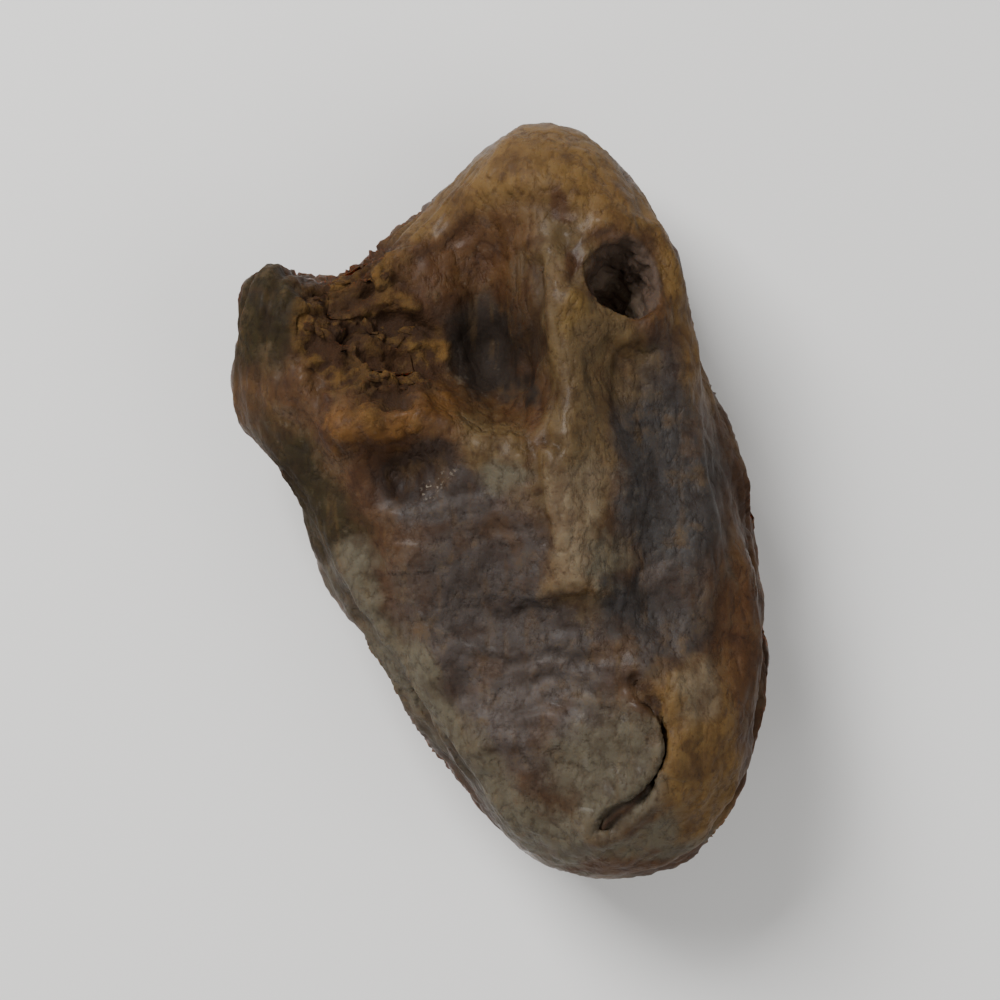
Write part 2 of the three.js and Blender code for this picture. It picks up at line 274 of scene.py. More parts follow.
class DateShape(bpy.types.PropertyGroup):
    """Sizes of the fine surface."""

    voxel: bpy.props.FloatProperty(
        name="Voxel", description="Edge of the remeshed surface's squares",
        default=0.19 * MM, unit="LENGTH", precision=5)
    smoothing: bpy.props.IntProperty(
        name="Smoothing", description="Passes that take the facets off the form", default=14)
    pressing: bpy.props.IntProperty(
        name="Pressing", description="Passes that flatten the pressed middle's wrinkles",
        default=36)
    furrow: bpy.props.FloatProperty(
        name="Furrow depth", description="Depth of the wrinkles between the main furrows",
        default=0.36 * MM, unit="LENGTH", precision=5)
    crumb: bpy.props.FloatProperty(
        name="Crumb height", description="Roughness of the torn flesh",
        default=0.60 * MM, unit="LENGTH", precision=5)
    skin: bpy.props.FloatProperty(
        name="Skin thickness", description="Thickness of the papery skin",
        default=0.05 * MM, unit="LENGTH", precision=5)
    curl: bpy.props.FloatProperty(
        name="Skin curl", description="How far the skin's torn edges lift off the flesh",
        default=0.26 * MM, unit="LENGTH", precision=5)
    shreds: bpy.props.IntProperty(
        name="Shreds", description="Loose crumbs and shreds of flesh in the torn patch",
        default=44)


def colour_property(name, description, default):
    return bpy.props.FloatVectorProperty(
        name=name, description=description, default=default, subtype="COLOR", size=3,
        min=0.0, max=1.0)


class DateColours(bpy.types.PropertyGroup):
    """Colours of the skin and the flesh."""

    brown: colour_property("Brown", "Skin of the sides and back", (0.058, 0.0245, 0.0080))
    chestnut: colour_property("Chestnut", "Warmer skin in patches", (0.084, 0.040, 0.0125))
    amber: colour_property("Amber", "Dry skin of the dome and bands", (0.124, 0.069, 0.020))
    # Also the painted highlight on the lit tops of the torn flesh
    orange: colour_property("Orange", "Skin of the ledge", (0.112, 0.049, 0.010))
    tan: colour_property("Tan", "Pale skin along the lower edge", (0.089, 0.075, 0.049))
    straw: colour_property("Straw", "Duller skin of the band", (0.094, 0.060, 0.024))
    pale: colour_property("Pale", "Palest patches of skin", (0.150, 0.112, 0.066))
    ochre: colour_property("Ochre", "Yellower skin beside the hole", (0.120, 0.072, 0.018))
    mauve: colour_property("Mauve", "Pressed skin of the middle", (0.046, 0.036, 0.031))
    dove: colour_property("Dove", "Paler pressed skin below the middle", (0.080, 0.065, 0.057))
    # Painted shade in the hollow, in a dark plum tone
    plum: colour_property("Plum", "Skin of the hollow", (0.0165, 0.0105, 0.0068))
    slate: colour_property("Slate", "Dull bloom on the right flank", (0.033, 0.029, 0.027))
    olive: colour_property("Olive", "Skin of the left lobe and edge", (0.022, 0.0145, 0.0030))
    flesh: colour_property("Flesh", "Torn flesh", (0.096, 0.052, 0.014))
    # Painted shade in the clefts between the lumps
    cleft_shade: colour_property("Cleft", "Between the lumps of torn flesh", (0.028, 0.0120, 0.0045))
    pulp: colour_property("Pulp", "Walls of the punched hole", (0.066, 0.043, 0.030))
    # Partly the paler flesh that the stone left, partly a painted glint low in the hole
    lining_and_glint: colour_property("Lining", "Dry lining that the stone left", (0.34, 0.250, 0.180))
    # Painted shade, laid in the bottoms of hollows, wrinkles, creases and the dimple
    deep: colour_property("Deep", "Bottoms of hollows and cracks", (0.018, 0.0085, 0.0040))
    # Darkens in blotches, and as painted shade in the crinkles' creases
    mottle_and_crease_shade: colour_property("Mottle", "Darkens the skin in blotches", (0.50, 0.42, 0.36))
    # Also the colour of the painted glints
    bloom: colour_property("Bloom", "Dried sugar on the skin", (0.20, 0.17, 0.13))
    floor: colour_property("Floor", "The surface under the fruit", (0.80, 0.79, 0.77))


# Fields over the surface, on arrays of points in millimetres


def falloff(low, high, value):
    """0 at low and beyond, 1 at high and beyond, smooth between."""
    t = np.clip((value - low) / (high - low), 0.0, 1.0)
    return t * t * (3.0 - 2.0 * t)


def oval_radius(points, place, size, turn):
    """1 on the oval's edge, less inside."""
    c, s = math.cos(math.radians(turn)), math.sin(math.radians(turn))
    dx, dy = points[:, 0] - place[0], points[:, 1] - place[1]
    return np.hypot((dx * c + dy * s) / size[0], (dy * c - dx * s) / size[1])


def way_to_path(points, path):
    """The shortest step from each point to a path, seen from above or in space."""
    ways = len(path[0])
    shortest = np.full((len(points), ways), np.inf)
    for start, end in zip(path, path[1:]):
        a, step = np.array(start), np.subtract(end, start)
        t = np.clip(((points[:, :ways] - a) @ step) / (step @ step), 0.0, 1.0)
        way = a + t[:, None] * step - points[:, :ways]
        nearer = np.linalg.norm(way, axis=1) < np.linalg.norm(shortest, axis=1)
        shortest[nearer] = way[nearer]
    return shortest


def path_distance(points, path):
    return np.linalg.norm(way_to_path(points, path), axis=1)


def sampled(points, pitch, seed, read):
    """What a noise reads at each point, with its pitch in millimetres along X, Y and Z."""
    spread = points / np.array(pitch) + seed
    return np.array([read(place) for place in spread.tolist()])


def noise_field(points, pitch, seed):
    """Smooth noise, about -1 to 1."""
    return sampled(points, pitch, seed, noise.noise)


def fractal_field(points, pitch, seed):
    """Rough noise of four sizes at once, about -1 to 1."""
    return sampled(points, pitch, seed, lambda place: noise.fractal(place, 0.7, 2.1, 4))


def crinkle_field(points, pitch, seed):
    """Noise with sharp creases, as of crumpled paper."""
    return sampled(points, pitch, seed, lambda place: noise.turbulence(place, 3, True))


def warped(points, reach, pitch, seed):
    """The points moved about by noise, so that what is laid on them has ragged edges."""
    moves = [noise_field(points, (pitch,) * 3, seed + 7.3 * k) for k in range(3)]
    return points + reach * np.stack(moves, axis=1)


def crease(value, sharpness):
    """1 where a field crosses zero, falling off on both sides."""
    return np.exp(-((value * sharpness) ** 2))


def pressed_share(points, normals, edge, tilt):
    """1 in the pressed middle of the broad face, and 0 round it."""
    return falloff(*edge, oval_radius(points, *PRESSED)) * falloff(*tilt, normals[:, 2])


class Surface:
    """The fruit's skin as arrays: its points and normals, and the fields worked out on them."""

    def __init__(self, points, normals):
        self.points, self.normals = points, normals
        self.face, self.top, self.crown = (
            falloff(*tilt, normals[:, 2]) for tilt in (FACE_TILT, TOP_TILT, CROWN_TILT))
        self.pressed = pressed_share(points, normals, PRESSED_EDGE, PRESSED_TILT)
        self.ragged = warped(warped(points, *WARPS["finishes"]), *WARPS["fine finishes"])
        self.turn, self.girth = self.turn_and_girth()
        self.turn += SWIRL * noise_field(points, *NOISES["swirl"])
        self.inside = self.inside_mask()
        self.gap = self.skin_gap()
        self.bare = falloff(*BARE_EDGE, self.gap)
        self.masks = self.finish_masks()

    def turn_and_girth(self):
        """Each point's angle about the line through the middles of the fruit's sections, and
        the share of the fullest section's height that its own section has."""
        x, y, z = self.points.T
        sections = np.linspace(y.min() + SECTION_MARGIN, y.max() - SECTION_MARGIN, SECTIONS)
        bands = [self.points[np.abs(y - section) < SECTION_HALF] for section in sections]
        low, high = (np.array([end(band, axis=0) for band in bands]) for end in (np.min, np.max))
        middle_x, _, middle_z = ((low + high) / 2).T
        half_x, _, half_z = ((high - low) / 2).T
        across = (x - np.interp(y, sections, middle_x)) / np.interp(y, sections, half_x)
        up = (z - np.interp(y, sections, middle_z)) / np.interp(y, sections, half_z)
        domed = np.sqrt(1.0 - np.clip(across, -1.0, 1.0) ** 2)
        turn = np.arctan2(up + self.face * (domed - up), across)
        return turn, np.interp(y, sections, half_z) / half_z.max()

    def furrow_field(self, ring, pitch, seed):
        """Noise drawn out from end to end, with about six waves round the fruit for ring 1."""
        across, up = ring * np.cos(self.turn), ring * np.sin(self.turn)
        unrolled = np.column_stack((across, self.points[:, 1] / pitch, up))
        return noise_field(unrolled, (1, 1, 1), seed)

    def inside_mask(self):
        """1 on the walls of the punched hole and of the channel under it."""
        height = self.points[:, 2]
        hole = falloff(*HOLE_EDGE, path_distance(self.points, HOLE))
        level = np.abs(height - CHANNEL_LEVEL) / CHANNEL_HALF_HEIGHT
        channel = falloff(*CHANNEL_EDGE, np.hypot(oval_radius(self.points, *CHANNEL), level))
        return np.maximum(hole * falloff(*HOLE_TOP, height), channel)

    def skin_gap(self):
        """Millimetres to the nearest torn edge of the skin, below 0 where flesh is bare."""
        off_face = FAR * (1.0 - self.face)
        place, size, turn = TORN_PATCH
        patch = (oval_radius(self.ragged, place, size, turn) - 1.0) * min(size) + off_face
        bent = warped(self.points, *WARPS["skin spots"])
        spots = SPOT_WIDTH * noise_field(bent, *NOISES["skin spots"]) + SPOT_MARGIN
        patch = np.maximum(patch, spots)
        fine = warped(self.points, *WARPS["openings"])
        tear = path_distance(fine, TEAR) - TEAR_HALF_WIDTH + off_face
        rim = path_distance(fine, HOLE) - HOLE_RADIUS - RIM_GAP
        rim = np.where(self.points[:, 2] > RIM_LEVEL, rim, FAR)
        cracks = noise_field(warped(self.points, *WARPS["cracks"]), *NOISES["cracks"])
        cracks = (CRACK_NOISE - cracks) * CRACK_WIDTH + FAR * self.face
        return np.minimum.reduce([patch, tear, rim, cracks])

    def finish_masks(self):
        """How much of each finish every point has, from 0 to 1."""
        masks = {}
        for name in (*FINISHES, "sparkle"):
            level = np.full(len(self.points), FAR)
            for place, size, turn in OVALS.get(name, []):
                level = np.minimum(level, oval_radius(self.ragged, place, size, turn))
            for path, width in LINES.get(name, []):
                level = np.minimum(level, path_distance(self.ragged, path) / width)
            masks[name] = falloff(*FINISH_EDGE, level) * self.top
        masks["torn"] = falloff(*TORN_EDGE, oval_radius(self.ragged, *TORN_PATCH)) * self.face
        masks["inside"] = self.inside
        masks["bare"] = self.bare
        return masks

    def wrinkles(self):
        """How deep each point lies in the wrinkles, from 0 to about 1."""
        points = warped(self.points, *WARPS["wrinkles"])
        along = crease(self.furrow_field(*FURROWS), NARROWNESS["along"])
        along_fine = crease(self.furrow_field(*FINE_FURROWS), NARROWNESS["fine along"])
        across = crease(noise_field(points, *NOISES["across"]), NARROWNESS["across"])
        across_fine = crease(noise_field(points, *NOISES["fine across"]), NARROWNESS["fine across"])
        strong = 0.3 + 0.7 * falloff(-0.35, 0.35, noise_field(points, *NOISES["strength"]))
        weak = 0.4 + 0.6 * falloff(-0.3, 0.3, noise_field(points, *NOISES["fine strength"]))
        lengthwise = strong * along + DEPTHS["fine along"] * weak * along_fine
        lengthwise = lengthwise * (1.3 - 0.9 * self.crown) * falloff(*FURROW_GIRTH, self.girth)
        crosswise = DEPTHS["across"] * strong * across + DEPTHS["fine across"] * weak * across_fine
        calm = 1.0 - CALM["amber"] * self.masks["amber"] - CALM["slate"] * self.masks["slate"]
        calm = calm * (1.0 - CALM["plum"] * self.masks["plum"])
        return calm * ((1.0 - self.pressed) * lengthwise + self.pressed * crosswise)

    def creases(self):
        """How deep each point lies in the creases of the broad face, in millimetres."""
        fine = warped(self.points, *WARPS["creases"])
        depths = [deep * crease(path_distance(fine, path) / half_width, 1.0)
                  for path, half_width, deep in CREASES]
        return np.maximum.reduce(depths) * self.face

    def pinch(self):
        """Moves that draw the tear's lips together along its middle."""
        way = way_to_path(self.points, TEAR)
        y = self.points[:, 1]
        middle = falloff(*PINCH_START, y) * falloff(*PINCH_END, y) * self.face
        near = crease(np.linalg.norm(way, axis=1), 1.2)
        return np.column_stack((way * (PINCH_SHARE * middle * near)[:, None], np.zeros(len(y))))

    def crumbs(self):
        """How the torn flesh's lumps, clefts and flakes stand up, about -1 to 1."""
        bent = warped(self.points, *WARPS["crumbs"])
        lumps = fractal_field(self.points, *NOISES["lumps"])
        clefts = crease(noise_field(bent, *NOISES["clefts"]), 3.0)
        flakes = crinkle_field(bent, *NOISES["flakes"]) - 0.45
        return LUMPS * lumps - CLEFTS * clefts + FLAKES * flakes

    def rise(self, shape):
        """How far each point of the skin rises or sinks, in millimetres. It also adds the masks of
        painted shade in the grooves and of painted light and shade on the crumbs."""
        points, masks = self.points, self.masks
        smooth = (1.0 - self.bare) * (1.0 - self.inside)
        wrinkles, creases, crumbs = self.wrinkles(), self.creases(), self.crumbs()
        dark = wrinkles * smooth * (1.0 - 0.5 * self.pressed)
        # Painted shade: the groove mask darkens the colour in the wrinkles and creases
        masks["groove"] = np.clip(dark + CREASE_DARKNESS * creases, 0.0, 1.0)
        # Painted light and shade of the torn flesh: the crumb mask is high on its lumps and low in
        # its clefts
        masks["crumb"] = np.clip(0.62 + 0.75 * crumbs, 0.0, 1.0)
        rise = -(shape.furrow / MM * wrinkles + creases) * smooth
        rise += CRINKLES * (crinkle_field(points, *NOISES["crinkles"]) - 0.5) * smooth
        rise += SWELLS * (crinkle_field(points, *NOISES["swells"]) - 0.5) * smooth
        rise -= SKIN_STEP * self.bare * (1.0 - self.inside)
        rise += shape.crumb / MM * crumbs * masks["torn"] * (1.0 - 0.7 * masks["plum"])
        rise += FIBRES * fractal_field(points, *NOISES["fibres"]) * self.bare
        rise += WALL_BUMPS * fractal_field(points, *NOISES["walls"]) * self.inside
        rim = crease(path_distance(points, HOLE) - HOLE_RADIUS, 1.4) * self.face
        rise += RIM_BUMPS * fractal_field(points, *NOISES["rim"]) * rim
        lips = crease(path_distance(points, TEAR) - LIP_DISTANCE, 2.4) * self.face
        return rise + LIPS * lips * (1.0 - self.bare)


# Meshes


def mesh_array(mesh, name):
    """The coordinates or the normals of a mesh's vertices, in rows."""
    flat = np.empty(len(mesh.vertices) * 3, np.float32)
    mesh.vertices.foreach_get(name, flat)
    return flat.reshape(-1, 3).astype(float)


def surface_of(mesh):
    return Surface(mesh_array(mesh, "co") / MM, mesh_array(mesh, "normal"))


def move_points(mesh, points):
    """Puts a mesh's vertices at points in millimetres."""
    mesh.vertices.foreach_set("co", (points * MM).astype(np.float32).ravel())
    mesh.update()


def keep_mask(mesh, name, values):
    """Stores a mask as an attribute of the mesh, where the shader reads it."""
    layer = mesh.attributes.get(name) or mesh.attributes.new(name, "FLOAT", "POINT")
    layer.data.foreach_set("value", values.astype(np.float32))


def kept_mask(mesh, name):
    values = np.empty(len(mesh.vertices), np.float32)
    mesh.attributes[name].data.foreach_get("value", values)
    return values.astype(float)


def add_piece(name, mesh):
    piece = bpy.data.objects.new(name, mesh)
    bpy.context.scene.collection.objects.link(piece)
    return piece


def finish_piece(piece, material):
    """Smooth shading, the material, and the body that the piece belongs to."""
    mesh = piece.data
    mesh.polygons.foreach_set("use_smooth", [True] * len(mesh.polygons))
    mesh.materials.clear()
    mesh.materials.append(material)
    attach(piece, "root")


def apply_modifiers(piece):
    """Bakes the piece's modifiers into its mesh."""
    depsgraph = bpy.context.evaluated_depsgraph_get()
    made = bpy.data.meshes.new_from_object(piece.evaluated_get(depsgraph))
    piece.modifiers.clear()
    piece.data = made
    made.name = piece.name


def merged_copy(node, name):
    """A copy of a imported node's mesh with its loose triangles joined."""
    bm = bmesh.new()
    bm.from_mesh(node.data)
    bmesh.ops.remove_doubles(bm, verts=bm.verts, dist=0.0005 * MM)
    mesh = bpy.data.meshes.new(name)
    bm.to_mesh(mesh)
    bm.free()
    return mesh


def smooth_mesh(mesh, passes):
    """Moves each vertex half way to the middle of its neighbours, as many times as asked."""
    bm = bmesh.new()
    bm.from_mesh(mesh)
    for _ in range(passes):
        bmesh.ops.smooth_vert(
            bm, verts=bm.verts, factor=0.5, use_axis_x=True, use_axis_y=True, use_axis_z=True)
    bm.to_mesh(mesh)
    bm.free()


def flatten_wrinkles(mesh, passes):
    """Draws the pressed middle most of the way to a smoother copy of itself."""
    flat = mesh.copy()
    smooth_mesh(flat, passes)
    points, normals = mesh_array(mesh, "co") / MM, mesh_array(mesh, "normal")
    pressed = pressed_share(points, normals, FLATTENED_EDGE, FLATTENED_TILT)
    way = mesh_array(flat, "co") / MM - points
    move_points(mesh, points + way * (FLATTENED_SHARE * pressed)[:, None])
    bpy.data.meshes.remove(flat)


def flesh_object():
    flesh = bpy.data.objects.get("date_flesh")
    if flesh is None:
        raise RuntimeError("make the flesh before what lies on it")
    return flesh


class DATE_OT_flesh(bpy.types.Operator):
    """Model the fruit's body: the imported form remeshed, smoothed, wrinkled and torn"""

    bl_idname = "date.flesh"
    bl_label = "Flesh"

    def execute(self, context):
        shape = context.scene.date_shape
        piece = add_piece("date_flesh", merged_copy(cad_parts[NODE], "date_flesh"))
        remesh = piece.modifiers.new("Voxels", "REMESH")
        remesh.mode = "VOXEL"
        remesh.voxel_size = shape.voxel
        apply_modifiers(piece)
        smooth_mesh(piece.data, shape.smoothing)
        flatten_wrinkles(piece.data, shape.pressing)
        surface = surface_of(piece.data)
        points = surface.points + surface.normals * surface.rise(shape)[:, None]
        points += surface.pinch()
        points[:, 2] = np.maximum(points[:, 2], 0.0)
        move_points(piece.data, points)
        for name, values in surface.masks.items():
            keep_mask(piece.data, name, values)
        keep_mask(piece.data, "gap", surface.gap)
        keep_mask(piece.data, "side", 1.0 - surface.top)
        finish_piece(piece, fruit_material(context.scene.date_colours))
        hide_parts(NODE)
        return {"FINISHED"}


def skin_lift(points, gap, shape):
    """How far the skin's strip stands off the flesh: curled at its edge, sunk at its root."""
    curls = falloff(*CURL_NOISE, noise_field(points, *NOISES["curls"]))
    held = falloff(*HELD_NOISE, noise_field(points, *NOISES["held"]))
    edge = np.exp(-np.maximum(gap, 0.0) / CURL_REACH)
    root = np.maximum(falloff(*ROOT_RANGE, gap), held)
    waves = STRIP_WAVES * crinkle_field(points, *NOISES["waves"])
    share = LEAST_CURL + (1.0 - LEAST_CURL) * curls
    lift = STRIP_LIFT + share * shape.curl / MM * edge + waves
    return lift * (1.0 - root) - ROOT_DEPTH * root


class DATE_OT_skin(bpy.types.Operator):
    """Model the skin's torn edges: thin strips that curl up round the bare flesh"""

    bl_idname = "date.skin"
    bl_label = "Torn skin"

    def execute(self, context):
        shape = context.scene.date_shape
        mesh = bpy.data.meshes.new("date_skin")
        bm = bmesh.new()
        bm.from_mesh(flesh_object().data)
        gap, inside = (bm.verts.layers.float[name] for name in ("gap", "inside"))
        away = [
            v for v in bm.verts
            if not 0.0 < v[gap] < STRIP_WIDTH or v[inside] > STRIP_INSIDE
            or v.co.z < STRIP_FOOT * MM]
        bmesh.ops.delete(bm, geom=away, context="VERTS")
        drop_scraps(bm, STRIP_FACES)
        round_edges(bm, STRIP_ROUNDING)
        bm.to_mesh(mesh)
        bm.free()
        piece = add_piece("date_skin", mesh)
        points, normals = mesh_array(mesh, "co") / MM, mesh_array(mesh, "normal")
        free = falloff(*STRIP_RISE, points[:, 2])
        lift = skin_lift(points, kept_mask(mesh, "gap"), shape) * free - FOOT_DEPTH * (1.0 - free)
        move_points(mesh, points + normals * lift[:, None])
        shell = piece.modifiers.new("Shell", "SOLIDIFY")
        shell.thickness = shape.skin
        shell.offset = 1.0
        apply_modifiers(piece)
        finish_piece(piece, flesh_object().data.materials[0])
        return {"FINISHED"}


def islands_of(bm):
    """The mesh's faces in sets that hang together by their edges."""
    left = set(bm.faces)
    while left:
        island, front = set(), [left.pop()]
        while front:
            face = front.pop()
            island.add(face)
            near = {other for edge in face.edges for other in edge.link_faces} & left
            left -= near
            front.extend(near)
        yield island


def drop_scraps(bm, least):
    """Removes islands of fewer faces than least, and loose vertices."""
    scraps = [face for island in islands_of(bm) if len(island) < least for face in island]
    bmesh.ops.delete(bm, geom=scraps, context="FACES")
    loose = [v for v in bm.verts if not v.link_faces]
    bmesh.ops.delete(bm, geom=loose, context="VERTS")


def round_edges(bm, passes):
    """Takes the steps out of an open mesh's border."""
    for _ in range(passes):
        middles = {}
        for v in bm.verts:
            if v.is_boundary:
                ends = [e.other_vert(v).co for e in v.link_edges if e.is_boundary]
                middles[v] = sum(ends, Vector()) / len(ends)
        for v, middle in middles.items():
            v.co = v.co.lerp(middle, 0.5)


class DATE_OT_shreds(bpy.types.Operator):
    """Model the crumbs and shreds of flesh that stick up in the torn patch"""

    bl_idname = "date.shreds"
    bl_label = "Shreds"

    def execute(self, context):
        draw = random.Random(11)
        flesh = flesh_object().data
        gap, torn = kept_mask(flesh, "gap"), kept_mask(flesh, "torn")
        places = np.flatnonzero((gap < SHRED_GAP) & (torn > SHRED_TORN))
        if not len(places):
            raise RuntimeError("no torn patch to hold the shreds")
        bm = bmesh.new()
        for _ in range(context.scene.date_shape.shreds):
            root = flesh.vertices[int(draw.choice(places))]
            add_shred(bm, root.co, root.normal, draw)
        mesh = bpy.data.meshes.new("date_shreds")
        bm.to_mesh(mesh)
        bm.free()
        piece = add_piece("date_shreds", mesh)
        count = len(mesh.vertices)
        # The crumb value sets how much painted light the shreds get
        for name, value in (("torn", 1.0), ("bare", 1.0), ("crumb", 0.45)):
            keep_mask(mesh, name, np.full(count, value))
        finish_piece(piece, flesh_object().data.materials[0])
        return {"FINISHED"}


def add_shred(bm, place, normal, draw):
    """One lumpy crumb, drawn out along the surface and half sunk in the flesh."""
    size = draw.uniform(*SHRED_SIZE) * MM
    length = draw.uniform(*SHRED_LENGTH)
    turn = Matrix.Rotation(draw.uniform(0.0, 2.0 * math.pi), 4, normal)
    lie = normal.to_track_quat("Z", "Y").to_matrix().to_4x4()
    scale = Matrix.Diagonal((size * length, size, size * draw.uniform(*SHRED_HEIGHT), 1.0))
    made = bmesh.ops.create_icosphere(bm, subdivisions=3, radius=1.0)["verts"]
    seed = Vector((draw.uniform(0.0, 50.0), 0.0, 0.0))
    for v in made:
        v.co *= 1.0 + SHRED_LUMPS * noise.noise(v.co * SHRED_LUMP_RATE + seed)
    sink = Matrix.Translation(place - normal * size * SHRED_SINK)
    bmesh.ops.transform(bm, matrix=sink @ turn @ lie @ scale, verts=made)


# Shaders


class Value:
    """One output of a shader node. Python's operators on it add Math nodes."""

    def __init__(self, tree, socket):
        self.tree, self.socket = tree, socket

    def node(self, kind, settings=None, inputs=None, output=0):
        """Adds a node of a kind, with its settings, then the values or links of its sockets."""
        return add_node(self.tree, kind, settings, inputs, output)

    def _maths(self, operation, first, second, clamp=False):
        return self.node(
            "ShaderNodeMath", {"operation": operation, "use_clamp": clamp},
            {0: first, 1: second})

    def __add__(self, other):
        return self._maths("ADD", self, other)

    __radd__ = __add__

    def __sub__(self, other):
        return self._maths("SUBTRACT", self, other)

    def __rsub__(self, other):
        return self._maths("SUBTRACT", other, self)

    def __mul__(self, other):
        return self._maths("MULTIPLY", self, other)

    __rmul__ = __mul__

    def clipped(self):
        """The value held between 0 and 1."""
        return self._maths("ADD", self, 0.0, clamp=True)


def add_node(tree, kind, settings=None, inputs=None, output=0):
    """Adds a node. An input is a value, a Value to link, or a colour of three numbers."""
    made = tree.nodes.new(kind)
    for name, setting in (settings or {}).items():
        setattr(made, name, setting)
    for key, given in (inputs or {}).items():
        socket = made.inputs[key]
        if isinstance(given, Value):
            tree.links.new(given.socket, socket)
        elif isinstance(given, (int, float)) or len(given) == len(socket.default_value):
            socket.default_value = given
        else:
            socket.default_value = (*given, 1.0)
    return Value(tree, made.outputs[output])


def new_material(name):
    material = bpy.data.materials.new(name)
    material.use_nodes = True
    material.node_tree.nodes.clear()
    return material, material.node_tree


def mask_of(tree, name):
    return add_node(tree, "ShaderNodeAttribute", {"attribute_name": name}, output="Fac")


def object_place(tree):
    return add_node(tree, "ShaderNodeTexCoord", output="Object")


def noise_of(place, pitch, detail, roughness=0.55):
    """Noise of about 0 to 1 with a pitch in metres."""
    return place.node(
        "ShaderNodeTexNoise", None,
        {"Vector": place, "Scale": 1.0 / pitch, "Detail": detail, "Roughness": roughness},
        "Fac")


def stretched(place, pitch, length):
    """Places scaled so that a texture of scale 1 is drawn out along the fruit."""
    return place.node(
        "ShaderNodeMapping", {"vector_type": "POINT"},
        {"Vector": place, "Scale": (1.0 / pitch, 1.0 / length, 1.0 / pitch)})


def streaks_of(place, pitch, length):
    """Noise drawn out along the fruit."""
    return place.node(
        "ShaderNodeTexNoise", None,
        {"Vector": stretched(place, pitch, length), "Scale": 1.0, "Detail": 4.0}, "Fac")


def creases_of(place, pitch, length):
    """Sharp ridges of about 0 to 1.5 in a network, as in crumpled skin."""
    return place.node(
        "ShaderNodeTexNoise", {"noise_type": "RIDGED_MULTIFRACTAL"},
        {"Vector": stretched(place, pitch, length), "Scale": 1.0, "Detail": 4.0,
         "Roughness": 0.6, "Offset": 0.9, "Gain": 1.6}, "Fac")


def between(value, low, high):
    """0 at low and beyond, 1 at high and beyond, smooth between."""
    return value.node(
        "ShaderNodeMapRange", {"interpolation_type": "SMOOTHSTEP"},
        {"Value": value, "From Min": low, "From Max": high})


def blend_colours(amount, first, second, kind="MIX"):
    """The first colour where the amount is 0, and the second laid on it where it is 1."""
    return amount.node(
        "ShaderNodeMix", {"data_type": "RGBA", "blend_type": kind},
        {0: amount, 6: first, 7: second}, 2)


def shade(tree, colour, roughness, height, bump, fixed, coat=None):
    """A Principled surface with its bump, joined to the material's output."""
    normal = add_node(
        tree, "ShaderNodeBump", None,
        {"Strength": bump[0], "Distance": bump[1], "Height": height})
    inputs = {"Base Color": colour, "Roughness": roughness, "Normal": normal, **fixed}
    if coat is not None:
        inputs["Coat Weight"] = coat
    surface = add_node(tree, "ShaderNodeBsdfPrincipled", None, inputs)
    out = tree.nodes.new("ShaderNodeOutputMaterial")
    tree.links.new(surface.socket, out.inputs["Surface"])


class Look:
    """The noises and masks that the fruit's colours, roughness and relief share."""

    def __init__(self, tree):
        self.tree = tree
        self.place = object_place(tree)
        self.broad = noise_of(self.place, 5.0 * MM, detail=3.0)
        self.middle = noise_of(self.place, 1.6 * MM, detail=5.0, roughness=0.6)
        self.fine = noise_of(self.place, 0.45 * MM, detail=5.0, roughness=0.65)
        self.streaks = streaks_of(self.place, 0.5 * MM, 3.5 * MM)
        self.groove, self.bare, self.inside, self.side, self.plum = (
            mask_of(tree, name) for name in ("groove", "bare", "inside", "side", "plum"))
        crossed = creases_of(self.place, 0.70 * MM, 1.1 * MM) * (1.0 - self.side)
        lengthwise = creases_of(self.place, 0.60 * MM, 3.6 * MM) * self.side
        self.network = crossed + lengthwise
        self.blur = (self.middle - 0.5) * 0.9 + (self.fine - 0.5) * 0.4
        self.torn = between(mask_of(tree, "torn") + self.blur, 0.20, 0.95)
        sugar = self.fine + (self.broad - 0.5) * 0.6
        self.sugar = between(sugar, 0.58, 0.80) * (1.0 - self.groove)


def skin_colour(look, colours):
    """The skin in its finishes, two of them painted shade, stained, streaked and mottled, with
    painted shade in its creases and dried sugar and painted glints on it.
    """
    colour = blend_colours(between(look.broad, 0.38, 0.62), colours.brown, colours.chestnut)
    for name in FINISHES:
        edge = between(mask_of(look.tree, name) + look.blur, 0.0, 1.0)
        colour = blend_colours(edge, colour, getattr(colours, name))
    stains = noise_of(look.place, 2.6 * MM, detail=4.0, roughness=0.6)
    specks = noise_of(look.place, 0.26 * MM, detail=2.0)
    layers = (
        (stains, 0.52, 0.66, 0.35, colours.chestnut, "MIX"),
        (look.streaks, 0.52, 0.74, 0.20, colours.amber, "MIX"),
        (look.middle, 0.56, 0.34, 0.70, colours.mottle_and_crease_shade, "MULTIPLY"),
        (look.fine, 0.46, 0.28, 0.60, colours.mottle_and_crease_shade, "MULTIPLY"),
        # Painted shade where the crinkles' relief dips
        (look.network, 0.70, 1.50, 0.50, colours.mottle_and_crease_shade, "MULTIPLY"),
        (specks, 0.62, 0.72, 0.60, colours.mottle_and_crease_shade, "MULTIPLY"),
    )
    for pattern, none, full, share, tone, kind in layers:
        colour = blend_colours(between(pattern, none, full) * share, colour, tone, kind)
    colour = blend_colours(look.sugar * (0.18 - look.side * 0.10), colour, colours.bloom)
    # Painted highlight: a few pale flecks of glint inside the sparkle oval, in the sugar's colour
    glints = between(noise_of(look.place, 0.17 * MM, detail=1.0), 0.60, 0.68)
    return blend_colours(glints * mask_of(look.tree, "sparkle") * 0.8, colour, colours.bloom)


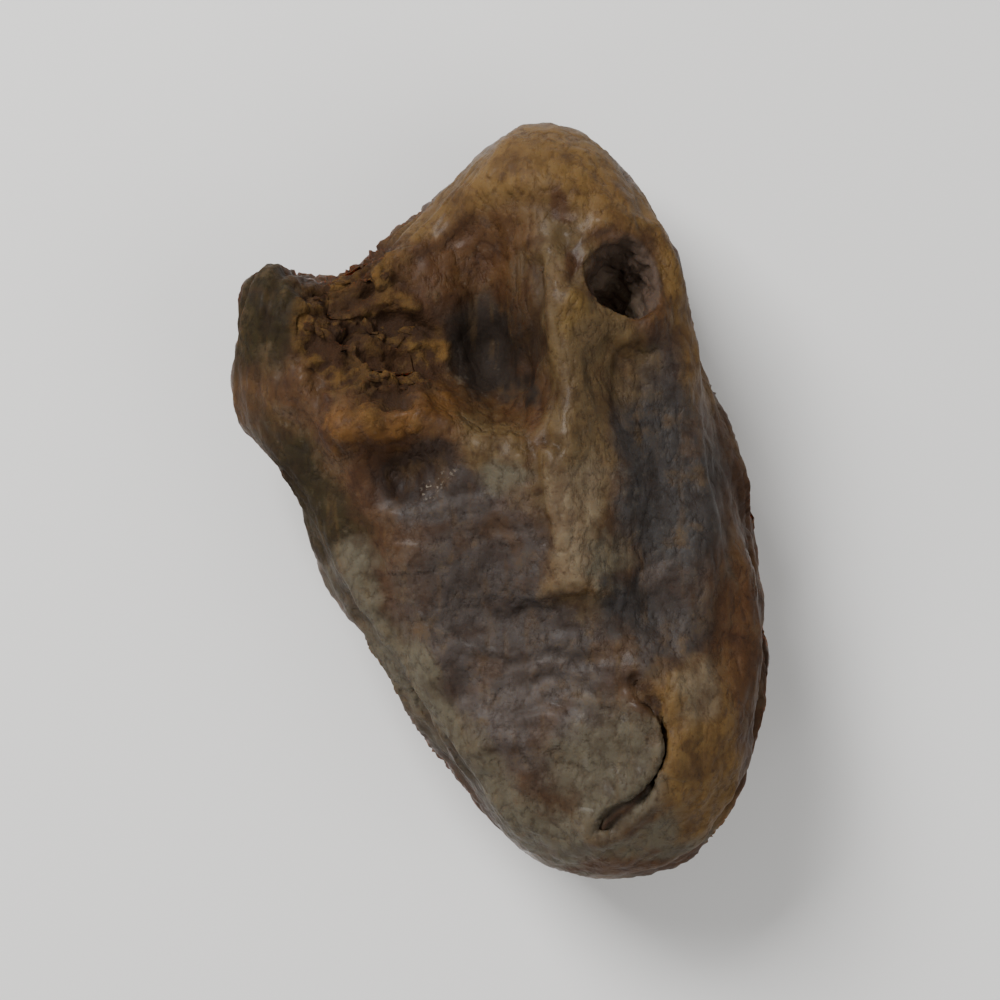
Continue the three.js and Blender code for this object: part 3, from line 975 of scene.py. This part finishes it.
def flesh_colour(look, colours):
    """Torn flesh with painted light on its lumps and painted shade in its clefts, and the hole's
    walls with their paler lining and a painted glint deeper down.
    """
    # Painted light and shade: the torn flesh is lighter where its crumbs stand up and darker in
    # their clefts
    crumb = mask_of(look.tree, "crumb") + (look.middle - 0.5) * 0.7 + (look.fine - 0.5) * 1.2
    lit = between(crumb, 0.25, 0.85)
    colour = blend_colours(lit, colours.cleft_shade, colours.flesh)
    # Painted highlight: orange on the lit tops
    warm = between(look.middle, 0.48, 0.62) * lit * 0.35
    colour = blend_colours(warm, colour, colours.orange)
    height = look.place.node("ShaderNodeSeparateXYZ", None, {"Vector": look.place}, "Z")
    start, whole = LINING_AND_GLINT_LEVELS
    # Paler deeper down: partly the lining, partly a painted glint
    lining_and_glint_share = between(height, start * MM, whole * MM)
    return blend_colours(look.inside, colour, blend_colours(lining_and_glint_share, colours.pulp, colours.lining_and_glint))


def fruit_material(colours):
    """Skin and bare flesh, with painted shade in the grooves, glossier on the sides, with a fine
    relief.
    """
    material, tree = new_material("date skin and flesh")
    look = Look(tree)
    raw = (look.bare + look.inside + look.torn * 0.7).clipped()
    colour = blend_colours(raw, skin_colour(look, colours), flesh_colour(look, colours))
    # Painted shade in the grooves and creases
    colour = blend_colours(look.groove * 0.60, colour, colours.deep)
    dull = (look.torn + look.plum * 0.8 + mask_of(tree, "olive") * 0.6 + look.inside).clipped()
    roughness = 0.46 + look.fine * 0.30 + look.sugar * 0.15 + dull * 0.22 - look.side * 0.14
    glossy = between(look.broad, 0.38, 0.62) * (0.09 + look.side * 0.50)
    coat = (glossy * (1.0 - dull)).clipped()
    ridges = look.network * (0.25 + between(look.middle, 0.38, 0.62) * 0.55)
    height = look.fine * (0.60 + look.torn * 1.7) + look.streaks * 0.35 + look.middle * 0.4
    height = height - ridges * (1.0 - look.plum * 0.8)
    fixed = {
        "Specular IOR Level": 0.17,
        "Subsurface Weight": 0.12,
        "Subsurface Radius": (1.0, 0.38, 0.12),
        "Subsurface Scale": 0.7 * MM,
        "Coat Roughness": 0.18,
    }
    shade(tree, colour, roughness, height, (0.85, 0.08 * MM), fixed, coat)
    return material


def floor_material(colours):
    material, tree = new_material("floor")
    grain = noise_of(object_place(tree), 2.0 * MM, detail=3.0)
    colour = blend_colours(grain * 0.06, colours.floor, (0.7, 0.7, 0.7))
    shade(tree, colour, 0.6 + grain * 0.1, grain, (0.1, 0.01 * MM), {})
    return material


# Stage


def add_area_light(name, direction, distance, size, power):
    """A square soft light that shines from a direction at where the fruit lies."""
    light = bpy.data.lights.new(name, "AREA")
    light.shape, light.size, light.energy = "SQUARE", size, power
    lamp = bpy.data.objects.new(name, light)
    lamp.location = Vector(direction).normalized() * distance
    lamp.rotation_euler = (-lamp.location).to_track_quat("-Z", "Y").to_euler()
    bpy.context.scene.collection.objects.link(lamp)


def add_camera(elevation, lens, share):
    """A camera that looks down on the fruit, whose length fills about a share of the frame."""
    low, high = CAD_BOX
    middle = (low + high) / 2
    data = bpy.data.cameras.new("camera")
    data.lens = lens
    data.dof.use_dof = False
    data.clip_start = 0.01
    distance = (high.y - low.y) / share * lens / data.sensor_width
    tilt = math.radians(elevation)
    back = Vector((0.0, -math.cos(tilt), math.sin(tilt)))
    camera = bpy.data.objects.new("camera", data)
    camera.location = middle + back * distance
    camera.rotation_euler = (-back).to_track_quat("-Z", "Y").to_euler()
    bpy.context.scene.collection.objects.link(camera)
    bpy.context.scene.camera = camera


class DATE_OT_stage(bpy.types.Operator):
    """Make the floor, the soft lights and the camera"""

    bl_idname = "date.stage"
    bl_label = "Stage"

    def execute(self, context):
        mesh = bpy.data.meshes.new("floor")
        bm = bmesh.new()
        bmesh.ops.create_grid(bm, x_segments=1, y_segments=1, size=FLOOR_HALF)
        bm.to_mesh(mesh)
        bm.free()
        floor = add_piece("floor", mesh)
        mesh.materials.append(floor_material(context.scene.date_colours))
        floor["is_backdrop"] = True
        for name, light in LIGHTS.items():
            add_area_light(name, *light)
        world = bpy.data.worlds.new("studio")
        world.use_nodes = True
        background = world.node_tree.nodes["Background"]
        background.inputs["Color"].default_value = (1.0, 1.0, 1.0, 1.0)
        background.inputs["Strength"].default_value = SKY_STRENGTH
        context.scene.world = world
        add_camera(CAMERA_ELEVATION, CAMERA_LENS, CAMERA_SHARE)
        return {"FINISHED"}


class DATE_PT_panel(bpy.types.Panel):
    """Lists the fruit's operators and settings"""

    bl_idname = "DATE_PT_panel"
    bl_label = "Pitted Date"
    bl_space_type = "VIEW_3D"
    bl_region_type = "UI"
    bl_category = "Date"

    def draw(self, context):
        layout = self.layout
        for operator in STEPS:
            layout.operator(operator.bl_idname)
        for group in (context.scene.date_shape, context.scene.date_colours):
            for name in group.__annotations__:
                layout.prop(group, name)


STEPS = (DATE_OT_flesh, DATE_OT_skin, DATE_OT_shreds, DATE_OT_stage)
CLASSES = (DateShape, DateColours, *STEPS, DATE_PT_panel)


def register():
    for cls in CLASSES:
        bpy.utils.register_class(cls)
    bpy.types.Scene.date_shape = bpy.props.PointerProperty(type=DateShape)
    bpy.types.Scene.date_colours = bpy.props.PointerProperty(type=DateColours)


def unregister():
    del bpy.types.Scene.date_colours
    del bpy.types.Scene.date_shape
    for cls in reversed(CLASSES):
        bpy.utils.unregister_class(cls)


def write_sizes():
    boxes = {"cad": CAD_BOX, "visual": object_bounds()}
    sizes = {name: [list(corner) for corner in box] for name, box in boxes.items()}


def main():
    register()
    bpy.ops.date.flesh()
    bpy.ops.date.skin()
    bpy.ops.date.shreds()
    bpy.ops.date.stage()
    write_sizes()


if __name__ == "__main__":
    main()
